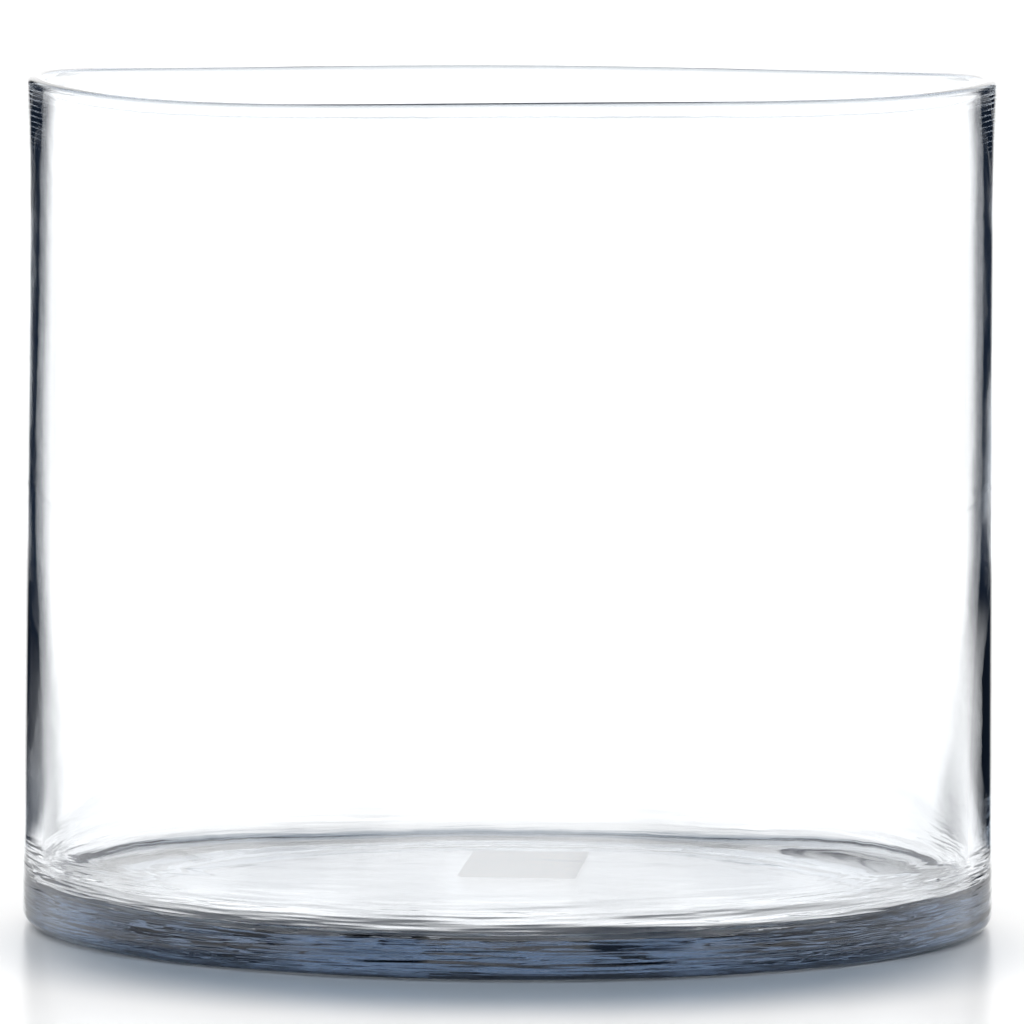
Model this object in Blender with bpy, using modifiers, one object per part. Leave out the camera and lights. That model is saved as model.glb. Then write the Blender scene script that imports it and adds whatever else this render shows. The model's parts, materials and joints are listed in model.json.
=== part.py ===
"""Wide glass cylinder vase: one blown glass vessel with a paper label under its base.

Metres, +Z up. The origin is the middle of the foot, on the surface that the vase stands on.
"""

import math

import bpy

# Driving dimensions
HEIGHT = 0.1763
FOOT_DIAMETER = 0.2032
FLOOR_THICKNESS = 0.0078

# Outer wall: it narrows a little towards the top, and the reheated lip turns out again
TAPER = 0.0011
LIP_FLARE = 0.0008
LIP_FLARE_REACH = 0.012

# Wall thickness: thin in the middle, a little thicker where it runs into the base, and thick at the lip
WALL_MIDDLE = 0.0021
WALL_FOOT_EXTRA = 0.0014
WALL_FOOT_REACH = 0.034
WALL_LIP_EXTRA = 0.0018
WALL_LIP_REACH = 0.010

# Rounded corners
HEEL_RADIUS = 0.0032
RIM_RADIUS = 0.0011
INNER_CORNER_RADIUS = 0.0036

# The straight of the wall, between the inner corner and the rounding of the rim
WALL_SPAN = HEIGHT - RIM_RADIUS - FLOOR_THICKNESS - INNER_CORNER_RADIUS

# Underside: a shallow flat hollow inside the ring that the vase stands on
HOLLOW_DEPTH = 0.0013
HOLLOW_FLAT_RADIUS = 0.0770
HOLLOW_EDGE_RADIUS = 0.0850

# Label stuck to the underside
LABEL_WIDTH = 0.0254
LABEL_LENGTH = 0.0508
LABEL_THICKNESS = 0.00015
LABEL_CORNER_RADIUS = 0.0020
LABEL_GAP = 0.0003
LABEL_CENTRE = (0.0035, 0.0440)
LABEL_TURN = math.radians(-4.0)

# Fineness of the turned shape
TURN_STEPS = 96
WALL_STATIONS = 8
ARC_STEPS = 4
MERGE = 0.00002

COLLECTION_NAME = "glass_cylinder_vase"


def clear_scene():
    for obj in list(bpy.data.objects):
        bpy.data.objects.remove(obj)


def make_material(name, color, roughness, transmission):
    material = bpy.data.materials.new(name)
    material.use_nodes = True
    shader = material.node_tree.nodes["Principled BSDF"]
    shader.inputs["Base Color"].default_value = (*color, 1.0)
    shader.inputs["Roughness"].default_value = roughness
    shader.inputs["Metallic"].default_value = 0.0
    shader.inputs["Transmission Weight"].default_value = transmission
    return material


def outer_radius(z):
    """Radius of the outer wall at height z."""
    flare = LIP_FLARE * math.exp((z - HEIGHT) / LIP_FLARE_REACH)
    return FOOT_DIAMETER / 2 - TAPER * z / HEIGHT + flare


def wall_thickness(z):
    foot = WALL_FOOT_EXTRA * math.exp(-(((z - FLOOR_THICKNESS) / WALL_FOOT_REACH) ** 2))
    lip = WALL_LIP_EXTRA * math.exp((z - HEIGHT) / WALL_LIP_REACH)
    return WALL_MIDDLE + foot + lip


def inner_radius(z):
    return outer_radius(z) - wall_thickness(z)


def arc(centre_r, centre_z, radius, start_deg, end_deg):
    """Points of an arc from start to end, both included, as (r, z)."""
    points = []
    for i in range(ARC_STEPS + 1):
        angle = math.radians(start_deg + (end_deg - start_deg) * i / ARC_STEPS)
        points.append((centre_r + radius * math.cos(angle), centre_z + radius * math.sin(angle)))
    return points


def wall_heights():
    """Heights up the wall, bottom to top, closer together near the base and near the lip."""
    heights = []
    for i in range(1, WALL_STATIONS):
        share = (1 - math.cos(math.pi * i / WALL_STATIONS)) / 2
        heights.append(FLOOR_THICKNESS + INNER_CORNER_RADIUS + share * WALL_SPAN)
    return heights


def vessel_profile():
    """The half section as (r, z): floor, inner wall, rim, outer wall, heel, foot ring and hollow."""
    corner_top = FLOOR_THICKNESS + INNER_CORNER_RADIUS
    corner_r = inner_radius(corner_top) - INNER_CORNER_RADIUS
    rim_base = HEIGHT - RIM_RADIUS
    rim_inner = inner_radius(rim_base)
    rim_outer = outer_radius(rim_base)
    foot_r = outer_radius(HEEL_RADIUS)

    floor = [(0.0, FLOOR_THICKNESS)]
    inner_corner = arc(corner_r, corner_top, INNER_CORNER_RADIUS, -90, 0)
    inner_wall = [(inner_radius(z), z) for z in wall_heights()]
    rim = arc(rim_inner + RIM_RADIUS, rim_base, RIM_RADIUS, 180, 90)
    rim += arc(rim_outer - RIM_RADIUS, rim_base, RIM_RADIUS, 90, 0)
    outer_wall = [(outer_radius(z), z) for z in reversed(wall_heights())]
    heel = arc(foot_r - HEEL_RADIUS, HEEL_RADIUS, HEEL_RADIUS, 0, -90)
    hollow = []
    for i in range(ARC_STEPS + 1):
        share = i / ARC_STEPS
        rise = share * share * (3 - 2 * share)
        r = HOLLOW_EDGE_RADIUS + (HOLLOW_FLAT_RADIUS - HOLLOW_EDGE_RADIUS) * share
        hollow.append((r, HOLLOW_DEPTH * rise))
    ceiling = [(0.0, HOLLOW_DEPTH)]
    inside_up = floor + inner_corner + inner_wall + rim
    outside_down = outer_wall + heel + hollow + ceiling
    return inside_up + outside_down


def make_vessel(collection, material):
    """The glass vessel, turned about +Z from its half section."""
    points = vessel_profile()
    mesh = bpy.data.meshes.new("glass_vessel")
    vertices = [(r, 0.0, z) for r, z in points]
    edges = [(i, i + 1) for i in range(len(points) - 1)]
    mesh.from_pydata(vertices, edges, [])
    mesh.materials.append(material)
    vessel = bpy.data.objects.new("glass_vessel", mesh)
    collection.objects.link(vessel)
    screw = vessel.modifiers.new("turned", "SCREW")
    screw.axis = "Z"
    screw.angle = 2 * math.pi
    screw.steps = TURN_STEPS
    screw.render_steps = TURN_STEPS
    screw.use_merge_vertices = True
    screw.merge_threshold = MERGE
    screw.use_smooth_shade = True


def rounded_outline(width, length, radius):
    """Corners of a rounded rectangle about the origin, anticlockwise."""
    points = []
    for quarter, (sx, sy) in enumerate([(1, 1), (-1, 1), (-1, -1), (1, -1)]):
        centre_x = sx * (width / 2 - radius)
        centre_y = sy * (length / 2 - radius)
        points += arc(centre_x, centre_y, radius, 90 * quarter, 90 * quarter + 90)
    return points


def make_label(collection, material):
    """The paper label, flat under the hollow's ceiling, as a filled 2D curve with thickness."""
    curve = bpy.data.curves.new("base_label", "CURVE")
    curve.dimensions = "2D"
    curve.fill_mode = "BOTH"
    curve.extrude = LABEL_THICKNESS / 2
    outline = rounded_outline(LABEL_WIDTH, LABEL_LENGTH, LABEL_CORNER_RADIUS)
    spline = curve.splines.new("POLY")
    spline.points.add(len(outline) - 1)
    for point, (x, y) in zip(spline.points, outline):
        point.co = (x, y, 0.0, 1.0)
    spline.use_cyclic_u = True
    curve.materials.append(material)
    label = bpy.data.objects.new("base_label", curve)
    collection.objects.link(label)
    label_z = HOLLOW_DEPTH - LABEL_GAP - LABEL_THICKNESS / 2
    label.location = (*LABEL_CENTRE, label_z)
    label.rotation_euler = (0.0, 0.0, LABEL_TURN)


def main():
    clear_scene()
    collection = bpy.data.collections.new(COLLECTION_NAME)
    bpy.context.scene.collection.children.link(collection)
    glass = make_material("clear_glass", (0.93, 0.96, 0.98), 0.02, 1.0)
    paper = make_material("label_paper", (0.86, 0.87, 0.86), 0.65, 0.0)
    make_vessel(collection, glass)
    make_label(collection, paper)


main()
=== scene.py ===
import json
import math

import bmesh
import bpy
from mathutils import Euler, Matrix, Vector


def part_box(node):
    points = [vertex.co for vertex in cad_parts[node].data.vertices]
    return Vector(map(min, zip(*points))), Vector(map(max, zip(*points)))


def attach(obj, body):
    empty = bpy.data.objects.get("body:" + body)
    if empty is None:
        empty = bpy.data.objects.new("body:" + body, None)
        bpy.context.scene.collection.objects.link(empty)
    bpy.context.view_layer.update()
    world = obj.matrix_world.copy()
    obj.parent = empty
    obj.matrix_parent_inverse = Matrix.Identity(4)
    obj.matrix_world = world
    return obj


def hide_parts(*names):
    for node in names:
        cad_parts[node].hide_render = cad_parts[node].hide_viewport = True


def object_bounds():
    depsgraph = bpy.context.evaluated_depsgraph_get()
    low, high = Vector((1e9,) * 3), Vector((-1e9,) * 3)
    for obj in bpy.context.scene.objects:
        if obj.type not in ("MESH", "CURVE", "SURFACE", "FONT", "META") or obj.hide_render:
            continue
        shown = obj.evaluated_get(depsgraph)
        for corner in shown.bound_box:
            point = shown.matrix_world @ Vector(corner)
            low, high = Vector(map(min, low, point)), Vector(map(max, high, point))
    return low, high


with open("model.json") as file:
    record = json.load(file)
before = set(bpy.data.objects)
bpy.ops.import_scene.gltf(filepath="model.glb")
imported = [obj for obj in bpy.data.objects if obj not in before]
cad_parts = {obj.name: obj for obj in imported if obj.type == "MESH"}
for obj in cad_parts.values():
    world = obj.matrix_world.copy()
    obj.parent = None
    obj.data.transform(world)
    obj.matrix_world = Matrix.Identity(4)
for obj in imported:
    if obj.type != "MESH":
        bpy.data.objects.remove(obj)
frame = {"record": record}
cadLow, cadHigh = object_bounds()
mounts = {mount["name"]: mount for mount in frame["record"]["mounts"]}
labelLow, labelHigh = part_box("base_label")
labelGap = 0.0003       # how far the frame's label lies under the glass
print("frame loaded, box", [round(v, 4) for v in cadHigh - cadLow])


class Wire:
    # a node's output, which takes part in plain Python sums
    def __init__(self, bench, socket):
        self.bench = bench
        self.socket = socket

    def maths(self, operation, first, second=0.0):
        return self.bench.add("ShaderNodeMath", {"operation": operation}, {0: first, 1: second})

    def __add__(self, other):
        return self.maths("ADD", self, other)

    def __radd__(self, other):
        return self.maths("ADD", other, self)

    def __sub__(self, other):
        return self.maths("SUBTRACT", self, other)

    def __rsub__(self, other):
        return self.maths("SUBTRACT", other, self)

    def __mul__(self, other):
        return self.maths("MULTIPLY", self, other)

    def __rmul__(self, other):
        return self.maths("MULTIPLY", other, self)

    def __truediv__(self, other):
        return self.maths("DIVIDE", self, other)


class Bench:
    # a node tree and the one way that nodes are put into it
    def __init__(self, tree):
        self.tree = tree

    def add(self, kind, settings=None, inputs=None, output=0):
        node = self.tree.nodes.new(kind)
        for name, value in (settings or {}).items():
            setattr(node, name, value)
        for name, value in (inputs or {}).items():
            self.feed(node.inputs[name], value)
        return Wire(self, node.outputs[output])

    def feed(self, socket, value):
        if isinstance(value, Wire):
            self.tree.links.new(value.socket, socket)
        else:
            socket.default_value = value

    def ramp(self, value, low, high, toLow=0.0, toHigh=1.0):
        # a smooth step from toLow to toHigh as value goes from low to high
        sockets = {"Value": value, "From Min": low, "From Max": high}
        sockets.update({"To Min": toLow, "To Max": toHigh})
        return self.add("ShaderNodeMapRange", {"interpolation_type": "SMOOTHSTEP"}, sockets)

    def parts(self, vector):
        node = self.add("ShaderNodeSeparateXYZ", None, {"Vector": vector}).socket.node
        return [Wire(self, out) for out in node.outputs]

    def vector(self, x, y, z):
        return self.add("ShaderNodeCombineXYZ", None, {"X": x, "Y": y, "Z": z})

    def length(self, vector):
        return self.add("ShaderNodeVectorMath", {"operation": "LENGTH"}, {0: vector}, "Value")

    def larger(self, first, second):
        return self.add("ShaderNodeMath", {"operation": "MAXIMUM"}, {0: first, 1: second})

    def size(self, value):
        return self.add("ShaderNodeMath", {"operation": "ABSOLUTE"}, {0: value})

    def mixed(self, factor, first, second):
        # 6, 7 and 2 are the colour sockets of a Mix node
        sockets = {"Factor": factor, 6: first, 7: second}
        return self.add("ShaderNodeMix", {"data_type": "RGBA"}, sockets, 2)

    def objectPlace(self):
        return self.add("ShaderNodeTexCoord", None, None, "Object")

    def noise(self, place, size, seed, detail=1.0, roughness=0.5):
        # noise about zero, from -0.5 to 0.5, whose lumps are size metres across
        sockets = {"Vector": place, "W": seed, "Scale": 1.0 / size}
        sockets.update({"Detail": detail, "Roughness": roughness})
        return self.add("ShaderNodeTexNoise", {"noise_dimensions": "4D"}, sockets) - 0.5


def newMaterial(name):
    material = bpy.data.materials.new(name)
    material.use_nodes = True
    material.node_tree.nodes.clear()
    return material, Bench(material.node_tree)


def surfaceOut(material, bench, surface, volume=None):
    # ends a material in its surface and, where it has one, its volume
    output = material.node_tree.nodes.new("ShaderNodeOutputMaterial")
    bench.feed(output.inputs["Surface"], surface)
    if volume:
        bench.feed(output.inputs["Volume"], volume)


def show(name, mesh):
    piece = bpy.data.objects.new(name, mesh)
    bpy.context.scene.collection.objects.link(piece)
    return piece


glass = {
    "height": cadHigh.z,
    "footRadius": (cadHigh.x - cadLow.x) / 2,
    "floorTop": mounts["inner_floor"]["pos_m"][2],
    "hollowTop": labelHigh.z + labelGap,
    "hollowFlat": 0.0770,
    "hollowEdge": 0.0850,
    "taper": 0.0011,
    "lipFlare": 0.0008,
    "lipFlareReach": 0.012,
    "wallMiddle": 0.0021,
    "wallLipExtra": 0.0017,
    "wallLipReach": 0.013,
    "heelRadius": 0.0032,
    "innerCorner": 0.0036,
    "rimRadius": 0.0013,
    "rimCrown": 0.00010,
    # the rim was cut and fire-polished by hand: waves round it, their height, and their turn in degrees
    "rimWaves": ((1, 0.00028, -19), (2, 0.00079, 19), (3, 0.00028, -125), (4, 0.00040, -4)),
    "rimWaveReach": 0.060,
    "turnSteps": 400,
    # how many points each stretch of the half section has
    "floorRings": 16,
    "cornerSteps": 10,
    "wallStations": 72,
    "lipCrowding": 1.6,         # above 1 the stations close up towards the lip
    "rimSteps": 7,
    "crownPoints": 3,
    "heelSteps": 12,
    "footRings": 4,
    "hollowRings": 12,
    "weld": 0.000002,
    "stillLip": 0.035,          # the waves fade out over this much below the rim
    "innerWave": 0.00030,       # full height of the slow waves of the inner wall
    "innerWaveSize": 0.055,
    "outerWave": 0.00016,
    "outerWaveSize": 0.075,
    "outerWaveSeed": 7.0,       # added to the seed
    "waveStretch": 0.8,         # below 1 the slow waves are taller than they are wide
    "drawnLines": 0.00010,      # fine level lines round the heel and the foot
    "drawnLineSize": 0.030,
    "drawnLineSeed": 13.0,      # added to the seed
    "drawnLineStretch": 9.0,
    "drawnLineFade": (0.030, 0.002),
    "heavyLeft": 0.0012,        # how much thicker the wall is low down at its two heavy sides
    "heavyRight": 0.0022,
    "heavyFrom": (0.080, 0.018),
    "heavySides": 0.35,         # share of the radius, to each side, past which it grows heavy
    "wallStart": 0.86,          # share of the radius at which the wall begins, and the share it takes
    "wallStartOver": 0.07,
    "edgeFade": (1.5, 1.6),     # how the painted shade on the rim's edge fades over its rounding
    "seed": 4.0,
}


def outerRadius(z):
    flare = glass["lipFlare"] * math.exp((z - glass["height"]) / glass["lipFlareReach"])
    return glass["footRadius"] - glass["taper"] * z / glass["height"] + flare


def innerRadius(z):
    lip = glass["wallLipExtra"] * math.exp((z - glass["height"]) / glass["wallLipReach"])
    return outerRadius(z) - glass["wallMiddle"] - lip


def spaced(low, high, count):
    # count places from low to high, both ends left out
    return [low + (high - low) * (i + 1) / (count + 1) for i in range(count)]


def spacedToLip(low, high, count):
    # heights from low to high, closer together towards high, both ends left out
    crowding = glass["lipCrowding"]
    return [high - (high - low) * ((count - i) / (count + 1)) ** crowding for i in range(count)]


def arcPoints(centreR, centreZ, radius, startDeg, endDeg, steps):
    angles = [math.radians(startDeg + (endDeg - startDeg) * i / steps) for i in range(steps + 1)]
    return [(centreR + radius * math.cos(a), centreZ + radius * math.sin(a)) for a in angles]


def glassProfile():
    # half section from the middle of the floor, up the inside, over the rim, down and under the foot
    cornerTop = glass["floorTop"] + glass["innerCorner"]
    cornerR = innerRadius(cornerTop) - glass["innerCorner"]
    rimBase = glass["height"] - glass["rimRadius"] - glass["rimCrown"]
    rimIn = innerRadius(rimBase) + glass["rimRadius"]
    rimOut = outerRadius(rimBase) - glass["rimRadius"]
    footR = outerRadius(glass["heelRadius"]) - glass["heelRadius"]
    floor = [(0.0, glass["floorTop"])]
    floor += [(r, glass["floorTop"]) for r in spaced(0.0, cornerR, glass["floorRings"])]
    corner = arcPoints(cornerR, cornerTop, glass["innerCorner"], -90, 0, glass["cornerSteps"])
    stations = glass["wallStations"]
    innerWall = [(innerRadius(z), z) for z in spacedToLip(cornerTop, rimBase, stations)]
    crown = []
    for r in spaced(rimIn, rimOut, glass["crownPoints"]):
        across = (2 * r - rimIn - rimOut) / (rimOut - rimIn)
        crown.append((r, glass["height"] - glass["rimCrown"] * across * across))
    rim = arcPoints(rimIn, rimBase, glass["rimRadius"], 180, 90, glass["rimSteps"]) + crown
    rim += arcPoints(rimOut, rimBase, glass["rimRadius"], 90, 0, glass["rimSteps"])
    upwards = spacedToLip(glass["heelRadius"], rimBase, stations)
    outerWall = [(outerRadius(z), z) for z in reversed(upwards)]
    heel = arcPoints(footR, glass["heelRadius"], glass["heelRadius"], 0, -90, glass["heelSteps"])
    ring = [(r, 0.0) for r in spaced(footR, glass["hollowEdge"], glass["footRings"])]
    hollow = []
    for r in spaced(glass["hollowEdge"], glass["hollowFlat"], glass["hollowRings"]):
        share = (glass["hollowEdge"] - r) / (glass["hollowEdge"] - glass["hollowFlat"])
        hollow.append((r, glass["hollowTop"] * share * share * (3 - 2 * share)))
    ceiling = [(r, glass["hollowTop"]) for r in spaced(glass["hollowFlat"], 0.0, glass["hollowRings"])]
    ceiling.append((0.0, glass["hollowTop"]))
    inside = floor + corner + innerWall
    outside = outerWall + heel
    return inside, rim, outside, ring + hollow + ceiling


def profileMesh():
    # the half section as a line in the XZ plane, with what each point needs to know for the waves
    inside, rim, outside, under = glassProfile()
    points = inside + rim + outside + under
    outsideStart = len(inside) + len(rim)
    outsideEnd = outsideStart + len(outside)
    mesh = bpy.data.meshes.new("glassProfile")
    edges = [(i, i + 1) for i in range(len(points) - 1)]
    mesh.from_pydata([(r, 0.0, z) for r, z in points], edges, [])
    mesh.attributes.new("outward", "FLOAT_VECTOR", "POINT")
    shares = ("innerShare", "outerShare", "rimShare", "wallShare", "edgeShare")
    for name in shares:
        mesh.attributes.new(name, "FLOAT", "POINT")
    # fetched only now, as adding an attribute moves the ones before it
    outward = mesh.attributes["outward"].data
    innerShare, outerShare, rimShare, wallShare, edgeShare = [mesh.attributes[n].data for n in shares]
    edgeTop, edgeSlope = glass["edgeFade"]
    wallStart = glass["wallStart"] * glass["footRadius"]
    for i, (r, z) in enumerate(points):
        before = points[max(i - 1, 0)]
        after = points[min(i + 1, len(points) - 1)]
        along = Vector((after[0] - before[0], 0.0, after[1] - before[1])).normalized()
        outward[i].vector = (-along.z, 0.0, along.x)   # left of the way that the section runs
        below = min(1.0, (glass["height"] - z) / glass["stillLip"])
        awayFromRim = below * below * (3 - 2 * below)
        innerShare[i].value = awayFromRim * r / glass["footRadius"] if i < len(inside) else 0.0
        outerShare[i].value = awayFromRim if outsideStart <= i < outsideEnd else 0.0
        upWall = (r - wallStart) / (glass["wallStartOver"] * glass["footRadius"])
        wallShare[i].value = min(1.0, max(0.0, upWall)) if i < len(inside) else 0.0
        # the rim's painted shade: full on its crown, gone partway down its rounding
        downRim = (glass["height"] - z) / glass["rimRadius"]
        edgeShare[i].value = min(1.0, max(0.0, edgeTop - edgeSlope * downRim))
        rimShare[i].value = max(0.0, 1 - (glass["height"] - z) / glass["rimWaveReach"]) ** 2
    return mesh


def turnTree(material):
    # Geometry Nodes that turn a half section about Z and give the glass its slow waves
    tree = bpy.data.node_groups.new("turnGlass", "GeometryNodeTree")
    bench = Bench(tree)
    tree.interface.new_socket("Geometry", in_out="INPUT", socket_type="NodeSocketGeometry")
    tree.interface.new_socket("Turn Steps", in_out="INPUT", socket_type="NodeSocketInt")
    for name in ("Inner Wave", "Inner Wave Size", "Outer Wave", "Outer Wave Size"):
        tree.interface.new_socket(name, in_out="INPUT", socket_type="NodeSocketFloat")
    for name in ("Drawn Lines", "Drawn Line Size", "Heavy Left", "Heavy Right", "Seed"):
        tree.interface.new_socket(name, in_out="INPUT", socket_type="NodeSocketFloat")
    tree.interface.new_socket("Geometry", in_out="OUTPUT", socket_type="NodeSocketGeometry")
    sizes = tree.nodes.new("NodeGroupInput")
    given = {out.name: Wire(bench, out) for out in sizes.outputs if out.name}

    # a grid with a row for each point of the section and a column for each step of the turn
    section = given["Geometry"]
    count = bench.add("GeometryNodeAttributeDomainSize", {"component": "MESH"}, {"Geometry": section})
    columns = given["Turn Steps"] + 1
    sockets = {"Size X": 1.0, "Size Y": 1.0, "Vertices X": count, "Vertices Y": columns}
    grid = bench.add("GeometryNodeMeshGrid", None, sockets)
    u, v, _ = bench.parts(bench.add("GeometryNodeInputPosition"))
    station = bench.add("ShaderNodeMath", {"operation": "ROUND"}, {0: (u + 0.5) * (count - 1)})
    angle = (v + 0.5) * (2 * math.pi)

    def onSection(value, kind):
        sockets = {"Geometry": section, "Value": value, "Index": station}
        return bench.add("GeometryNodeSampleIndex", {"data_type": kind}, sockets)

    def named(name, kind):
        return bench.add("GeometryNodeInputNamedAttribute", {"data_type": kind}, {"Name": name})

    r, _, z = bench.parts(onSection(bench.add("GeometryNodeInputPosition"), "FLOAT_VECTOR"))
    outR, _, outZ = bench.parts(onSection(named("outward", "FLOAT_VECTOR"), "FLOAT_VECTOR"))
    innerShare, outerShare, rimShare, wallShare, edgeShare = [
        onSection(named(name, "FLOAT"), "FLOAT")
        for name in ("innerShare", "outerShare", "rimShare", "wallShare", "edgeShare")]
    cosine = bench.add("ShaderNodeMath", {"operation": "COSINE"}, {0: angle})
    sine = bench.add("ShaderNodeMath", {"operation": "SINE"}, {0: angle})
    place = bench.vector(r * cosine, r * sine, z)

    def noiseOf(size, seed, stretch):
        # lumps are as many times longer round the glass than they are tall
        where = bench.vector(r * cosine, r * sine, z * stretch)
        scale = bench.add("ShaderNodeMath", {"operation": "DIVIDE"}, {0: 1.0, 1: size})
        sockets = {"Vector": where, "W": seed, "Scale": scale, "Detail": 1.0}
        return bench.add("ShaderNodeTexNoise", {"noise_dimensions": "4D"}, sockets) - 0.5

    innerSeed = given["Seed"]
    outerSeed = innerSeed + glass["outerWaveSeed"]
    lineSeed = innerSeed + glass["drawnLineSeed"]
    innerNoise = noiseOf(given["Inner Wave Size"], innerSeed, glass["waveStretch"])
    outerNoise = noiseOf(given["Outer Wave Size"], outerSeed, glass["waveStretch"])
    lineNoise = noiseOf(given["Drawn Line Size"], lineSeed, glass["drawnLineStretch"])
    inner = given["Inner Wave"] * innerShare * innerNoise
    outer = given["Outer Wave"] * outerShare * outerNoise
    lines = given["Drawn Lines"] * bench.ramp(z, *glass["drawnLineFade"]) * outerShare * lineNoise
    # thick at the two sides only, so that the front and the back stay even
    left = given["Heavy Left"] * bench.ramp(cosine, -glass["heavySides"], -1.0)
    right = given["Heavy Right"] * bench.ramp(cosine, glass["heavySides"], 1.0)
    heavy = (left + right) * wallShare * bench.ramp(z, *glass["heavyFrom"])
    push = inner + outer + lines + heavy
    rise = 0.0
    for waves, height, turn in glass["rimWaves"]:
        phase = angle * waves + math.radians(turn)
        wave = bench.add("ShaderNodeMath", {"operation": "COSINE"}, {0: phase})
        rise = rise + wave * height
    lift = rise * rimShare
    moved = bench.vector(push * outR * cosine, push * outR * sine, push * outZ + lift)
    # the rim's painted shade is marked before the turn, while each point's place in the grid still
    # gives its station
    sockets = {"Geometry": grid, "Name": "rimEdge", "Value": edgeShare}
    onPoints = {"data_type": "FLOAT", "domain": "POINT"}
    marked = bench.add("GeometryNodeStoreNamedAttribute", onPoints, sockets)
    sockets = {"Geometry": marked, "Position": place, "Offset": moved}
    turned = bench.add("GeometryNodeSetPosition", None, sockets)
    sockets = {"Geometry": turned, "Distance": glass["weld"]}
    closed = bench.add("GeometryNodeMergeByDistance", None, sockets)
    smooth = bench.add("GeometryNodeSetShadeSmooth", None, {"Geometry": closed})
    real = bench.add("GeometryNodeRealizeInstances", None, {"Geometry": smooth})
    done = bench.add("GeometryNodeSetMaterial", None, {"Geometry": real, "Material": material})
    output = tree.nodes.new("NodeGroupOutput")
    bench.feed(output.inputs["Geometry"], done)
    return tree


def asMesh(piece):
    # swaps the piece's modifiers for the mesh that they make
    evaluated = piece.evaluated_get(bpy.context.evaluated_depsgraph_get())
    mesh = bpy.data.meshes.new_from_object(evaluated)
    piece.modifiers.clear()
    piece.data = mesh


def faceOutwards(mesh):
    work = bmesh.new()
    work.from_mesh(mesh)
    bmesh.ops.recalc_face_normals(work, faces=work.faces)
    work.to_mesh(mesh)
    work.free()


glassLook = {
    "polished": 0.004,          # roughness where the fire has smoothed it
    "scuffed": (0.03, 0.14),    # and on the ring that the vase stands on
    "scuffSize": 0.0012,
    "scuffFrom": (-0.1, 0.25),
    "scuffHeight": (0.0006, 0.0001),
    "scuffIn": 0.003,
    "rippleSize": 0.014,
    "rippleShare": 0.04,        # how deep the fine ripple of the walls is beside the drawn lines
    "streakSize": 0.045,
    "streakStretch": 20.0,
    "streakDepth": 0.00065,
    "streakTop": (0.020, 0.009),      # heights between which the drawn lines grow, on the outside
    "streakHeel": 0.002,
    "streakUnder": (0.0040, 0.0020),  # and underneath
    "streakUnderIn": 0.004,
    "streakUnderShare": 0.4,
    "cloudSize": 0.06,
    "clear": ((0.985, 0.993, 1.0, 1.0), (0.994, 0.998, 1.0, 1.0)),
    # painted shade: the grey that the top of the rim is tinted
    "edgeColour": (0.42, 0.46, 0.50, 1.0),
    "ior": 1.52,
    "absorbed": (13.0, 11.1, 8.8),    # share of each colour that a metre of glass takes off
    "absorbedMost": 0.9,              # what the strongest is in the shader's own colour
}


def scuffRoughness(bench, place, z, fromAxis):
    # the ring that the vase stands on is scuffed, the rest is fire-polished
    inwards = glass["hollowEdge"] - glassLook["scuffIn"]
    low = bench.ramp(z, *glassLook["scuffHeight"])
    onRing = low * bench.ramp(fromAxis, inwards, glass["hollowEdge"])
    scuffs = bench.noise(place, glassLook["scuffSize"], 3.0, 3.0, 0.7)
    rough = bench.ramp(scuffs, *glassLook["scuffFrom"], *glassLook["scuffed"])
    return glassLook["polished"] + onRing * rough


def drawnBump(bench, place, fromAxis):
    # drawn lines run round the heel and the foot, far longer than they are wide
    x, y, z = bench.parts(place)
    radius = glass["footRadius"]
    stretch = glassLook["streakStretch"]
    across = z * stretch + fromAxis * (stretch / 2)
    around = bench.vector(x / fromAxis * radius, y / fromAxis * radius, across)
    streaks = bench.noise(around, glassLook["streakSize"], 17.0, 2.0, 0.55)
    heel = radius - glass["heelRadius"]
    atHeel = bench.ramp(fromAxis, heel - glassLook["streakHeel"], heel)
    atHeel = atHeel * bench.ramp(z, *glassLook["streakTop"])
    under = bench.ramp(fromAxis, glass["hollowEdge"], heel - glassLook["streakUnderIn"])
    under = under * bench.ramp(z, *glassLook["streakUnder"]) * glassLook["streakUnderShare"]
    ripple = bench.noise(place, glassLook["rippleSize"], 21.0, 2.0)
    height = ripple * glassLook["rippleShare"] + streaks * bench.larger(atHeel, under)
    sockets = {"Strength": 1.0, "Distance": glassLook["streakDepth"], "Height": height}
    return bench.add("ShaderNodeBump", None, sockets, "Normal")


def makeGlassMaterial():
    material, bench = newMaterial("clearGlass")
    place = bench.objectPlace()
    x, y, z = bench.parts(place)
    fromAxis = bench.length(bench.vector(x, y, 0.0))
    paleness = bench.ramp(bench.noise(place, glassLook["cloudSize"], 9.0), -0.3, 0.3)
    tint = bench.mixed(paleness, *glassLook["clear"])
    # painted shade: the top of the thick lip, which is looked into edgeways, is tinted grey to give it
    # a dark line
    rimEdge = bench.add("ShaderNodeAttribute", {"attribute_name": "rimEdge"}, None, "Fac")
    sockets = {
        "Base Color": bench.mixed(rimEdge, tint, glassLook["edgeColour"]),
        "Roughness": scuffRoughness(bench, place, z, fromAxis),
        "IOR": glassLook["ior"],
        "Transmission Weight": 1.0,
        "Normal": drawnBump(bench, place, fromAxis),
    }
    surface = bench.add("ShaderNodeBsdfPrincipled", None, sockets)
    most = glassLook["absorbedMost"]
    strongest = max(glassLook["absorbed"])
    kept = [1 - most * taken / strongest for taken in glassLook["absorbed"]]
    sockets = {"Color": (*kept, 1.0), "Density": strongest / most}
    depth = bench.add("ShaderNodeVolumeAbsorption", None, sockets)
    surfaceOut(material, bench, surface, depth)
    return material


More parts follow.
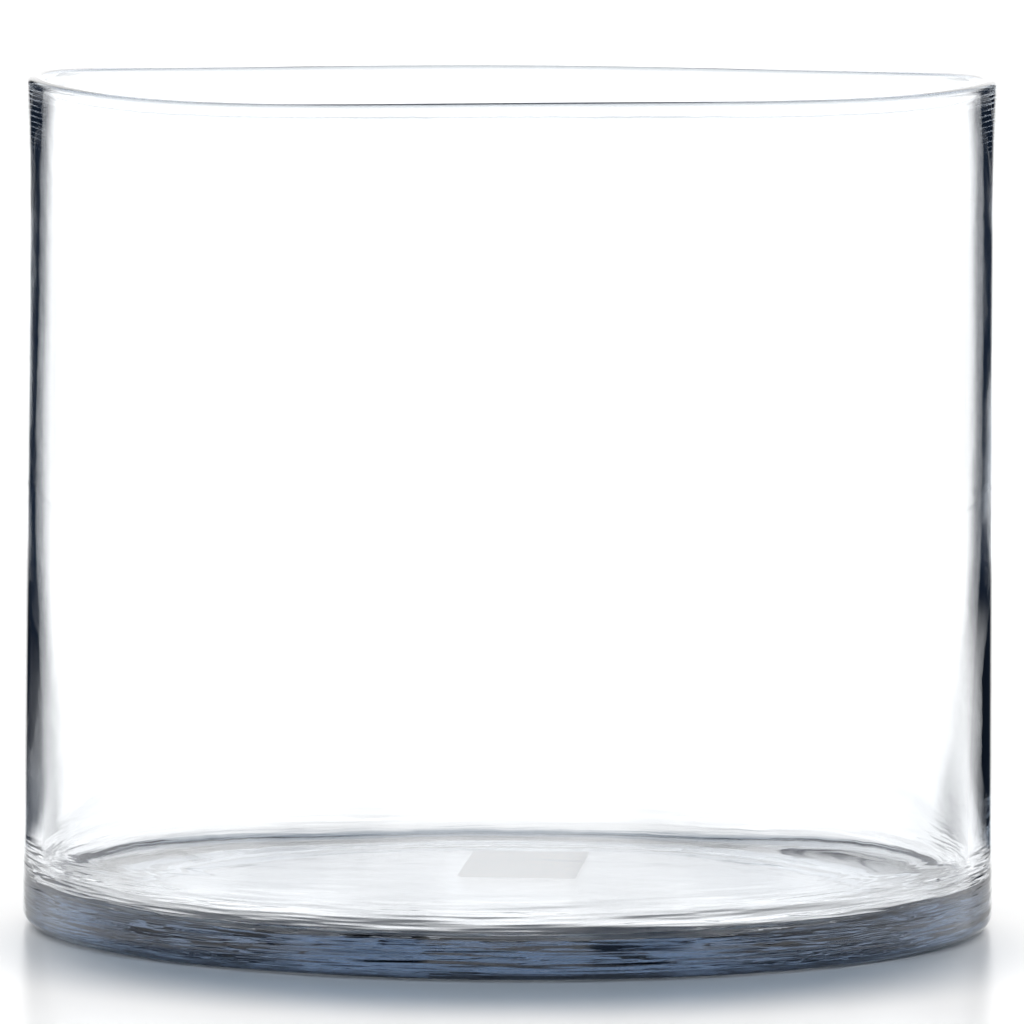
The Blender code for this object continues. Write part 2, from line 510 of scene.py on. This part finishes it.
def makeGlass():
    vessel = show("clearGlassVessel", profileMesh())
    turn = vessel.modifiers.new("turnGlass", "NODES")
    turn.node_group = turnTree(makeGlassMaterial())
    values = {
        "Turn Steps": glass["turnSteps"],
        "Inner Wave": glass["innerWave"],
        "Inner Wave Size": glass["innerWaveSize"],
        "Outer Wave": glass["outerWave"],
        "Outer Wave Size": glass["outerWaveSize"],
        "Drawn Lines": glass["drawnLines"],
        "Drawn Line Size": glass["drawnLineSize"],
        "Heavy Left": glass["heavyLeft"],
        "Heavy Right": glass["heavyRight"],
        "Seed": glass["seed"],
    }
    for socket in turn.node_group.interface.items_tree:
        if socket.name in values:
            turn[socket.identifier] = values[socket.name]
    asMesh(vessel)
    faceOutwards(vessel.data)
    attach(vessel, "root")
    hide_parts("glass_vessel")
    print("glass turned,", len(vessel.data.polygons), "faces")


label = {
    "width": 0.0254,
    "length": 0.0508,
    "corner": 0.0020,
    "thickness": 0.00012,
    "turn": math.radians(-4.0),
    "columns": 20,
    "rows": 40,
    "bite": 0.00004,    # how far the glue lets it into the glass
    "fibreSize": 0.0004,
    "fibreDepth": 0.00006,
    "cloudSize": 0.009,
    # grey paper: the paper's own off-white tone, darkened by painted shade from the glass base above it
    "paper": ((0.60, 0.61, 0.62, 1.0), (0.72, 0.73, 0.73, 1.0)),
    "roughness": (0.55, 0.72),
}


def makeLabelMaterial():
    material, bench = newMaterial("labelPaper")
    place = bench.objectPlace()
    fibres = bench.noise(place, label["fibreSize"], 5.0, 3.0, 0.65)
    cloud = bench.noise(place, label["cloudSize"], 8.0, 2.0)
    colour = bench.mixed(bench.ramp(fibres * 0.6 + cloud, -0.35, 0.35), *label["paper"])
    roughness = bench.ramp(cloud, -0.3, 0.3, *label["roughness"])
    sockets = {"Strength": 0.3, "Distance": label["fibreDepth"], "Height": fibres}
    bump = bench.add("ShaderNodeBump", None, sockets, "Normal")
    sockets = {"Base Color": colour, "Roughness": roughness, "Normal": bump}
    surfaceOut(material, bench, bench.add("ShaderNodeBsdfPrincipled", None, sockets))
    return material


def labelHalfWidth(y):
    # the half width at a place along the label, drawn in at the rounded corners
    past = abs(y) - (label["length"] / 2 - label["corner"])
    if past <= 0:
        return label["width"] / 2
    return label["width"] / 2 - label["corner"] + math.sqrt(max(label["corner"] ** 2 - past ** 2, 0.0))


def makeLabel():
    centre = (labelLow + labelHigh) / 2
    top = glass["hollowTop"] + label["bite"]
    across = Vector((math.cos(label["turn"]), math.sin(label["turn"]), 0.0))
    along = Vector((-across.y, across.x, 0.0))
    middle = Vector((centre.x, centre.y, top))
    points = []
    for i in range(label["rows"] + 1):
        y = -math.cos(math.pi * i / label["rows"]) * label["length"] / 2   # rows close up at both ends
        half = labelHalfWidth(y)
        for j in range(label["columns"] + 1):
            x = half * (2 * j / label["columns"] - 1)
            points.append(middle + across * x + along * y)
    faces = []
    width = label["columns"] + 1
    for i in range(label["rows"]):
        for j in range(label["columns"]):
            a = i * width + j
            faces.append((a, a + 1, a + width + 1, a + width))
    mesh = bpy.data.meshes.new("paperLabel")
    mesh.from_pydata(points, [], faces)
    mesh.materials.append(makeLabelMaterial())
    sticker = show("paperLabel", mesh)
    wall = sticker.modifiers.new("thickness", "SOLIDIFY")
    wall.thickness = label["thickness"]
    wall.offset = -1.0
    asMesh(sticker)
    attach(sticker, "root")
    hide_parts("base_label")
    print("label laid")


table = {
    "radius": 12.0,
    "drop": 0.0003,             # the foot stands on high spots, so there is air under most of it
    "white": ((0.88, 0.88, 0.88, 1.0), (0.91, 0.91, 0.91, 1.0)),
    "cloudSize": 0.4,
    # painted shadow: the colour that the table is darkened to round the foot
    "shadow": (0.30, 0.36, 0.43, 1.0),
    "shadowShift": (0.0, 0.045, 0.0),   # added to a place, so that the painted shadow falls forwards
    "shadowEdge": (0.122, 0.074),
    "contactEdge": (0.118, 0.100),      # a narrow painted contact shadow in front of the foot and behind it
    "contactFrom": (0.035, 0.080),
    "underFoot": (0.092, 0.0985),       # no painted shadow inside the foot, where the table is seen through the glass
    "roughness": 0.28,
    "ior": 1.5,
}


def makeTable():
    mesh = bpy.data.meshes.new("whiteTable")
    work = bmesh.new()
    bmesh.ops.create_circle(work, cap_ends=True, segments=96, radius=table["radius"])
    bmesh.ops.translate(work, verts=work.verts, vec=(0.0, 0.0, -table["drop"]))
    work.to_mesh(mesh)
    work.free()
    material, bench = newMaterial("whiteAcrylic")
    place = bench.objectPlace()
    # painted shadow: a soft shadow shifted forwards and a narrow contact shadow darken the table's
    # colour round the foot, but not under it
    sockets = {0: place, 1: table["shadowShift"]}
    shifted = bench.add("ShaderNodeVectorMath", {"operation": "ADD"}, sockets)
    fromAxis = bench.length(place)
    ahead = bench.size(bench.parts(place)[1])
    contact = bench.ramp(fromAxis, *table["contactEdge"]) * bench.ramp(ahead, *table["contactFrom"])
    deepest = bench.larger(bench.ramp(bench.length(shifted), *table["shadowEdge"]), contact)
    shadow = deepest * bench.ramp(fromAxis, *table["underFoot"])
    cloud = bench.noise(place, table["cloudSize"], 2.0)
    white = bench.mixed(bench.ramp(cloud, -0.3, 0.3), *table["white"])
    colour = bench.mixed(shadow, white, table["shadow"])
    sockets = {"Base Color": colour, "Roughness": table["roughness"], "IOR": table["ior"]}
    surfaceOut(material, bench, bench.add("ShaderNodeBsdfPrincipled", None, sockets))
    mesh.materials.append(material)
    show("whiteTable", mesh)
    print("table laid")


# angles are in degrees
studio = {
    "light": 1.45,
    "white": (1.0, 1.0, 1.0, 1.0),
    "cardRadius": 1.2,          # black cards lie on the table out to here, and then stand up
    "cardHeight": 0.55,
    "cardFade": 0.6,            # share of that height above which they fade away
    "cardLift": 0.0015,
    "cardStart": 0.104,         # the side of the vase, from which the cards' edges turn outwards
    "cardStartOver": 0.03,
    "leastAhead": 0.001,        # keeps the turn of a card's edge from a division by nothing
    "cardColour": (0.008, 0.013, 0.024, 1.0),
    "skims": (0.76, 0.86),      # how flat light has to come in to see the cards that lie
    "softEdge": (-0.04, 0.06),  # the near edge goes dark over this much of its slope
    "mirroredEdge": 13.0,       # the near edge for light that the glass mirrors
    "nearEdge": (8.5, 11.0),    # the near edge for light through it, close to the vase and far off
    "nearEdgeTurns": (0.30, 0.90),
    "farEdge": (44.0, 30.0),    # each card's far edge goes dark between these
    # up from the table, the white turns to dark ceiling between these: through the glass, and mirrored
    "ceilingThrough": (9.5, 19.0),
    "ceilingMirrored": (14.0, 30.0),
    "ceilingColour": (0.012, 0.020, 0.042, 1.0),
}


def slope(degrees):
    return math.tan(math.radians(degrees))


def rayKinds(bench):
    # light that was mirrored last, that came through glass last, and that a table behind glass mirrored
    seen = bench.add("ShaderNodeLightPath").socket.node.outputs
    through = Wire(bench, seen["Is Transmission Ray"])
    # light that goes through clear glass counts as glossy too
    mirrored = Wire(bench, seen["Is Glossy Ray"]) * (1.0 - through)
    inTable = mirrored * bench.ramp(Wire(bench, seen["Transmission Depth"]), 0.2, 0.8)
    return mirrored, through, inTable


def onCards(bench):
    # 1 on the black cards, one on each side of the white gaps that run out in front and behind
    x, y, _ = bench.parts(bench.objectPlace())
    sideways = bench.size(x)
    ahead = bench.size(y)
    start = studio["cardStart"]
    farOff, farOn = [slope(angle) for angle in studio["farEdge"]]
    near, away = [slope(angle) for angle in studio["nearEdge"]]
    mirrored, _, inTable = rayKinds(bench)
    turned = (sideways - start) / (ahead + studio["leastAhead"])
    edge = bench.ramp(ahead, *studio["nearEdgeTurns"], near, away)
    inside = turned - edge - mirrored * (slope(studio["mirroredEdge"]) - edge)
    # none of it lies straight beside the vase
    past = bench.ramp(ahead, start, start + studio["cardStartOver"])
    card = past * bench.ramp(inside, *studio["softEdge"]) * bench.ramp(turned, farOff, farOn)
    # the table seen through the glass mirrors the white behind them
    return card * (1.0 - inTable)


def cardMaterial(lies):
    material, bench = newMaterial("tableCards" if lies else "standingCards")
    black = bench.add("ShaderNodeBsdfDiffuse", None, {"Color": studio["cardColour"]})
    clear = bench.add("ShaderNodeBsdfTransparent")
    there = onCards(bench)
    if lies:
        # seen only from above, and only by light that skims it
        skims = bench.add("ShaderNodeLayerWeight", None, {"Blend": 0.5}, "Facing")
        fromBelow = bench.add("ShaderNodeNewGeometry", None, None, "Backfacing")
        there = there * bench.ramp(skims, *studio["skims"]) * (1.0 - fromBelow)
    else:
        z = bench.parts(bench.objectPlace())[2]
        top = studio["cardHeight"]
        there = there * bench.ramp(z, top, top * studio["cardFade"])
    surface = bench.add("ShaderNodeMixShader", None, {0: there, 1: clear, 2: black})
    surfaceOut(material, bench, surface)
    return material


def makeCards():
    # black cards on the table and standing round it, which only the light that meets the glass can see
    radius = studio["cardRadius"]
    height = studio["cardHeight"]
    for name, lies in (("tableCards", True), ("standingCards", False)):
        mesh = bpy.data.meshes.new(name)
        work = bmesh.new()
        if lies:
            bmesh.ops.create_circle(work, cap_ends=True, segments=96, radius=radius)
        else:
            bmesh.ops.create_cone(work, segments=96, radius1=radius, radius2=radius, depth=height)
        rise = studio["cardLift"] if lies else height / 2
        bmesh.ops.translate(work, verts=work.verts, vec=(0.0, 0.0, rise))
        work.to_mesh(mesh)
        work.free()
        mesh.materials.append(cardMaterial(lies))
        cards = show(name, mesh)
        cards.visible_camera = False
        cards.visible_diffuse = False
        cards.visible_shadow = False
    print("cards set up")


def makeLight():
    world = bpy.data.worlds.new("softWhite")
    world.use_nodes = True
    world.node_tree.nodes.clear()
    bench = Bench(world.node_tree)
    # the glass sees a dark ceiling above the white horizon, and all else sees only white
    upwards = bench.parts(bench.add("ShaderNodeTexCoord", None, None, "Generated"))[2]
    mirrored, through, inTable = rayKinds(bench)
    dark = 0.0
    for rays, angles in ((through, "ceilingThrough"), (mirrored - inTable, "ceilingMirrored")):
        low, high = [math.sin(math.radians(angle)) for angle in studio[angles]]
        dark = dark + rays * bench.ramp(upwards, low, high)
    shade = bench.mixed(dark, studio["white"], studio["ceilingColour"])
    glow = bench.add("ShaderNodeBackground", None, {"Color": shade, "Strength": studio["light"]})
    output = world.node_tree.nodes.new("ShaderNodeOutputWorld")
    bench.feed(output.inputs["Surface"], glow)
    scene = bpy.context.scene
    scene.world = world
    scene.view_settings.view_transform = "Standard"
    # clear glass is several surfaces deep, and so needs many bounces
    scene.cycles.max_bounces = 32
    scene.cycles.transmission_bounces = 32
    scene.cycles.glossy_bounces = 16
    scene.cycles.transparent_max_bounces = 16
    print("light on")


cameraSettings = {
    "distance": 2.207,    # from the vase's axis
    "height": 0.2658,     # above the table
    "lookDown": 4.652,    # degrees
    "turn": -0.012,
    "roll": -0.33,
    "lens": 372.1,        # millimetres, as the sensor's width
    "sensor": 36.0,
    "farthest": 50.0,
}


def makeCamera():
    data = bpy.data.cameras.new("productCamera")
    data.lens = cameraSettings["lens"]
    data.sensor_width = cameraSettings["sensor"]
    data.clip_end = cameraSettings["farthest"]
    camera = bpy.data.objects.new("productCamera", data)
    bpy.context.scene.collection.objects.link(camera)
    camera.location = (0.0, -cameraSettings["distance"], cameraSettings["height"])
    tilt = math.radians(90 - cameraSettings["lookDown"])
    aim = Euler((tilt, 0.0, math.radians(cameraSettings["turn"])))
    roll = Euler((0.0, 0.0, math.radians(-cameraSettings["roll"])))
    camera.rotation_euler = (aim.to_matrix() @ roll.to_matrix()).to_euler()
    bpy.context.scene.camera = camera
    print("camera placed")


makeCamera()
makeGlass()
makeLabel()
makeTable()
makeCards()
makeLight()
